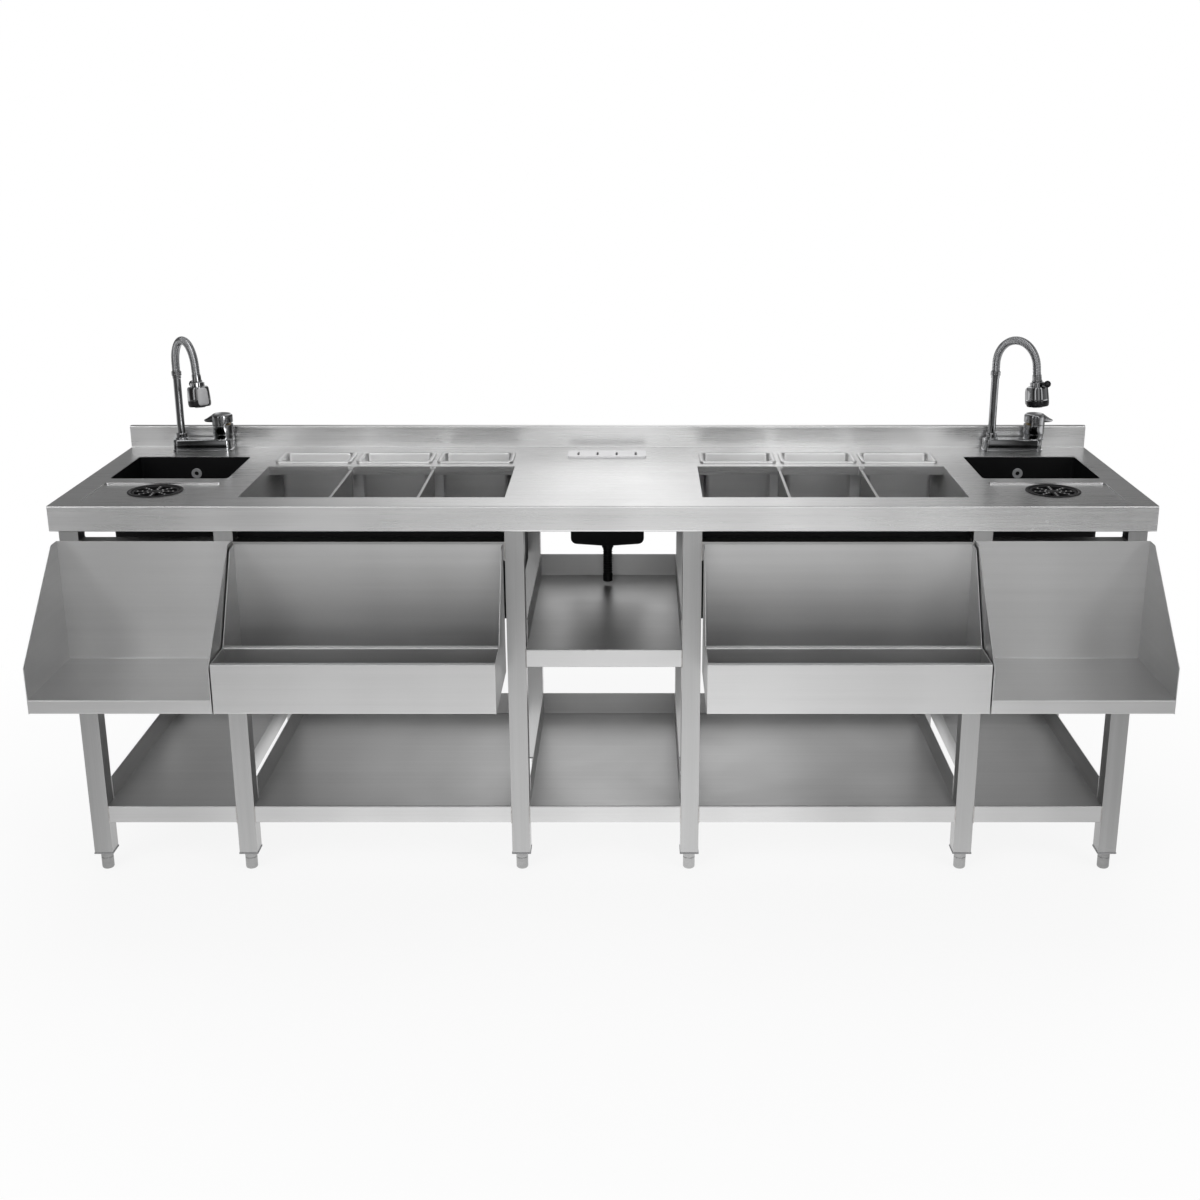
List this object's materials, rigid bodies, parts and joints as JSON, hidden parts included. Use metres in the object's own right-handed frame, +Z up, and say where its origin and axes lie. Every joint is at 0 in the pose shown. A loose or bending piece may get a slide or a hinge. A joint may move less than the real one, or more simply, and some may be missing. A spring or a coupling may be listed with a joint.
{
  "type": "cocktail station",
  "caption": "Stainless bar station with sinks, glass rinsers, ice bins, garnish pans, speed rails, blender shelves, knife holder, undershelves and spray-head mixer taps.",
  "frame": {"origin": "on the floor, under the middle of the station's outline", "axes": "+X to the right along the worktop, +Y from the bartender's side to the wall, +Z up"},
  "size_m": [2.3, 0.83, 1.1225],
  "materials": {
    "frame_steel": "brushed along the tubes",
    "worktop_steel": "brushed along the length",
    "shelf_steel": "brushed along the length",
    "rack_steel": "brushed along the length",
    "foot_metal": "satin",
    "sink_black": "satin black coating",
    "waste_chrome": "polished",
    "rinser_black": "satin",
    "well_steel": "satin",
    "jacket_black": "matt",
    "pan_steel": "satin",
    "knife_white": "satin",
    "tap_chrome": "polished",
    "hose_chrome": "polished",
    "cartridge_brass": "turned",
    "knob_black": "gloss"
  },
  "bodies": {
    "frame": {"legs": "frame_steel", "frame_rails": "frame_steel", "worktop": "worktop_steel", "end_shelves": "shelf_steel", "ice_bay_shelves": "shelf_steel", "centre_shelf": "shelf_steel", "mid_shelf": "shelf_steel", "speed_rail_left": "rack_steel", "speed_rail_right": "rack_steel", "bottle_dividers": "rack_steel", "blender_shelf_left": "rack_steel", "blender_shelf_right": "rack_steel", "sink_bowl_left": "sink_black", "sink_bowl_right": "sink_black", "waste_kits": "waste_chrome", "rinser_cups": "rinser_black", "ice_liner_left": "well_steel", "ice_liner_right": "well_steel", "ice_jackets": "jacket_black", "ice_drains": "waste_chrome", "knife_well": "jacket_black", "drain_hose": "jacket_black", "tap_bodies": "tap_chrome"},
    "foot_front_1": {"foot_front_1": "foot_metal"},
    "foot_front_2": {"foot_front_2": "foot_metal"},
    "foot_front_3": {"foot_front_3": "foot_metal"},
    "foot_front_4": {"foot_front_4": "foot_metal"},
    "foot_front_5": {"foot_front_5": "foot_metal"},
    "foot_front_6": {"foot_front_6": "foot_metal"},
    "foot_rear_1": {"foot_rear_1": "foot_metal"},
    "foot_rear_2": {"foot_rear_2": "foot_metal"},
    "foot_rear_3": {"foot_rear_3": "foot_metal"},
    "foot_rear_4": {"foot_rear_4": "foot_metal"},
    "foot_rear_5": {"foot_rear_5": "foot_metal"},
    "foot_rear_6": {"foot_rear_6": "foot_metal"},
    "rinser_plate_left": {"rinser_plate_left": "rinser_black"},
    "rinser_plate_right": {"rinser_plate_right": "rinser_black"},
    "ice_divider_1": {"ice_divider_1": "well_steel"},
    "ice_divider_2": {"ice_divider_2": "well_steel"},
    "ice_divider_3": {"ice_divider_3": "well_steel"},
    "ice_divider_4": {"ice_divider_4": "well_steel"},
    "garnish_pan_1": {"garnish_pan_1": "pan_steel"},
    "garnish_pan_2": {"garnish_pan_2": "pan_steel"},
    "garnish_pan_3": {"garnish_pan_3": "pan_steel"},
    "garnish_pan_4": {"garnish_pan_4": "pan_steel"},
    "garnish_pan_5": {"garnish_pan_5": "pan_steel"},
    "garnish_pan_6": {"garnish_pan_6": "pan_steel"},
    "knife_plate": {"knife_plate": "knife_white"},
    "cartridge_left": {"cartridge_left": "cartridge_brass"},
    "lever_left": {"lever_left": "tap_chrome"},
    "spout_left": {"spout_left": "tap_chrome", "gooseneck_left": "hose_chrome"},
    "spray_head_left": {"spray_head_left": "tap_chrome"},
    "diverter_knob_left": {"diverter_knob_left": "knob_black"},
    "cartridge_right": {"cartridge_right": "cartridge_brass"},
    "lever_right": {"lever_right": "tap_chrome"},
    "spout_right": {"spout_right": "tap_chrome", "gooseneck_right": "hose_chrome"},
    "spray_head_right": {"spray_head_right": "tap_chrome"},
    "diverter_knob_right": {"diverter_knob_right": "knob_black"}
  },
  "joints": [
    {"name": "foot_front_1_screw", "type": "hinge", "parent": "frame", "child": "foot_front_1", "pos_m": [-1.118, -0.145, 0.042], "axis": [0, 0, 1], "continuous": true},
    {"name": "foot_front_2_screw", "type": "hinge", "parent": "frame", "child": "foot_front_2", "pos_m": [-0.795, -0.145, 0.042], "axis": [0, 0, 1], "continuous": true},
    {"name": "foot_front_3_screw", "type": "hinge", "parent": "frame", "child": "foot_front_3", "pos_m": [-0.187, -0.145, 0.042], "axis": [0, 0, 1], "continuous": true},
    {"name": "foot_front_4_screw", "type": "hinge", "parent": "frame", "child": "foot_front_4", "pos_m": [0.187, -0.145, 0.042], "axis": [0, 0, 1], "continuous": true},
    {"name": "foot_front_5_screw", "type": "hinge", "parent": "frame", "child": "foot_front_5", "pos_m": [0.795, -0.145, 0.042], "axis": [0, 0, 1], "continuous": true},
    {"name": "foot_front_6_screw", "type": "hinge", "parent": "frame", "child": "foot_front_6", "pos_m": [1.118, -0.145, 0.042], "axis": [0, 0, 1], "continuous": true},
    {"name": "foot_rear_1_screw", "type": "hinge", "parent": "frame", "child": "foot_rear_1", "pos_m": [-1.118, 0.393, 0.042], "axis": [0, 0, 1], "continuous": true},
    {"name": "foot_rear_2_screw", "type": "hinge", "parent": "frame", "child": "foot_rear_2", "pos_m": [-0.795, 0.393, 0.042], "axis": [0, 0, 1], "continuous": true},
    {"name": "foot_rear_3_screw", "type": "hinge", "parent": "frame", "child": "foot_rear_3", "pos_m": [-0.187, 0.393, 0.042], "axis": [0, 0, 1], "continuous": true},
    {"name": "foot_rear_4_screw", "type": "hinge", "parent": "frame", "child": "foot_rear_4", "pos_m": [0.187, 0.393, 0.042], "axis": [0, 0, 1], "continuous": true},
    {"name": "foot_rear_5_screw", "type": "hinge", "parent": "frame", "child": "foot_rear_5", "pos_m": [0.795, 0.393, 0.042], "axis": [0, 0, 1], "continuous": true},
    {"name": "foot_rear_6_screw", "type": "hinge", "parent": "frame", "child": "foot_rear_6", "pos_m": [1.118, 0.393, 0.042], "axis": [0, 0, 1], "continuous": true},
    {"name": "rinser_press_left", "type": "slide", "parent": "frame", "child": "rinser_plate_left", "axis": [0, 0, 1], "range_m": [-0.008, 0], "stiffness_N_per_m": 600, "springref_m": 0.003},
    {"name": "rinser_press_right", "type": "slide", "parent": "frame", "child": "rinser_plate_right", "axis": [0, 0, 1], "range_m": [-0.008, 0], "stiffness_N_per_m": 600, "springref_m": 0.003},
    {"name": "ice_divider_1_lift", "type": "slide", "parent": "frame", "child": "ice_divider_1", "axis": [0, 0, 1], "range_m": [0, 0.26]},
    {"name": "ice_divider_2_lift", "type": "slide", "parent": "frame", "child": "ice_divider_2", "axis": [0, 0, 1], "range_m": [0, 0.26]},
    {"name": "ice_divider_3_lift", "type": "slide", "parent": "frame", "child": "ice_divider_3", "axis": [0, 0, 1], "range_m": [0, 0.26]},
    {"name": "ice_divider_4_lift", "type": "slide", "parent": "frame", "child": "ice_divider_4", "axis": [0, 0, 1], "range_m": [0, 0.26]},
    {"name": "garnish_pan_1_lift", "type": "slide", "parent": "frame", "child": "garnish_pan_1", "axis": [0, 0, 1], "range_m": [0, 0.12]},
    {"name": "garnish_pan_2_lift", "type": "slide", "parent": "frame", "child": "garnish_pan_2", "axis": [0, 0, 1], "range_m": [0, 0.12]},
    {"name": "garnish_pan_3_lift", "type": "slide", "parent": "frame", "child": "garnish_pan_3", "axis": [0, 0, 1], "range_m": [0, 0.12]},
    {"name": "garnish_pan_4_lift", "type": "slide", "parent": "frame", "child": "garnish_pan_4", "axis": [0, 0, 1], "range_m": [0, 0.12]},
    {"name": "garnish_pan_5_lift", "type": "slide", "parent": "frame", "child": "garnish_pan_5", "axis": [0, 0, 1], "range_m": [0, 0.12]},
    {"name": "garnish_pan_6_lift", "type": "slide", "parent": "frame", "child": "garnish_pan_6", "axis": [0, 0, 1], "range_m": [0, 0.12]},
    {"name": "knife_plate_lift", "type": "slide", "parent": "frame", "child": "knife_plate", "axis": [0, 0, 1], "range_m": [0, 0.05]},
    {"name": "mixer_turn_left", "type": "hinge", "parent": "frame", "child": "cartridge_left", "pos_m": [-0.918, 0.368, 0.908], "axis": [0, 0, 1], "range_deg": [-45, 45]},
    {"name": "lever_lift_left", "type": "hinge", "parent": "cartridge_left", "child": "lever_left", "pos_m": [-0.903, 0.368, 0.916], "axis": [0, 1, 0], "range_deg": [0, 22]},
    {"name": "spout_swivel_left", "type": "hinge", "parent": "frame", "child": "spout_left", "pos_m": [-1.018, 0.368, 0.87], "axis": [0, 0, 1], "continuous": true},
    {"name": "spray_swivel_left", "type": "hinge", "parent": "spout_left", "child": "spray_head_left", "pos_m": [-0.94466, 0.27067, 1.04145], "axis": [-0.0733, 0.0973, 0.9925], "continuous": true},
    {"name": "diverter_turn_left", "type": "hinge", "parent": "spray_head_left", "child": "diverter_knob_left", "pos_m": [-0.94313, 0.26865, 1.02081], "axis": [-0.5973, 0.7927, -0.1219], "range_deg": [0, 90]},
    {"name": "mixer_turn_right", "type": "hinge", "parent": "frame", "child": "cartridge_right", "pos_m": [1.018, 0.368, 0.908], "axis": [0, 0, 1], "range_deg": [-45, 45]},
    {"name": "lever_lift_right", "type": "hinge", "parent": "cartridge_right", "child": "lever_right", "pos_m": [1.003, 0.368, 0.916], "axis": [0, -1, 0], "range_deg": [0, 22]},
    {"name": "spout_swivel_right", "type": "hinge", "parent": "frame", "child": "spout_right", "pos_m": [0.918, 0.368, 0.87], "axis": [0, 0, 1], "continuous": true},
    {"name": "spray_swivel_right", "type": "hinge", "parent": "spout_right", "child": "spray_head_right", "pos_m": [0.99134, 0.27067, 1.04145], "axis": [-0.0733, 0.0973, 0.9925], "continuous": true},
    {"name": "diverter_turn_right", "type": "hinge", "parent": "spray_head_right", "child": "diverter_knob_right", "pos_m": [0.99287, 0.26865, 1.02081], "axis": [0.5973, -0.7927, 0.1219], "range_deg": [0, 90]}
  ]
}
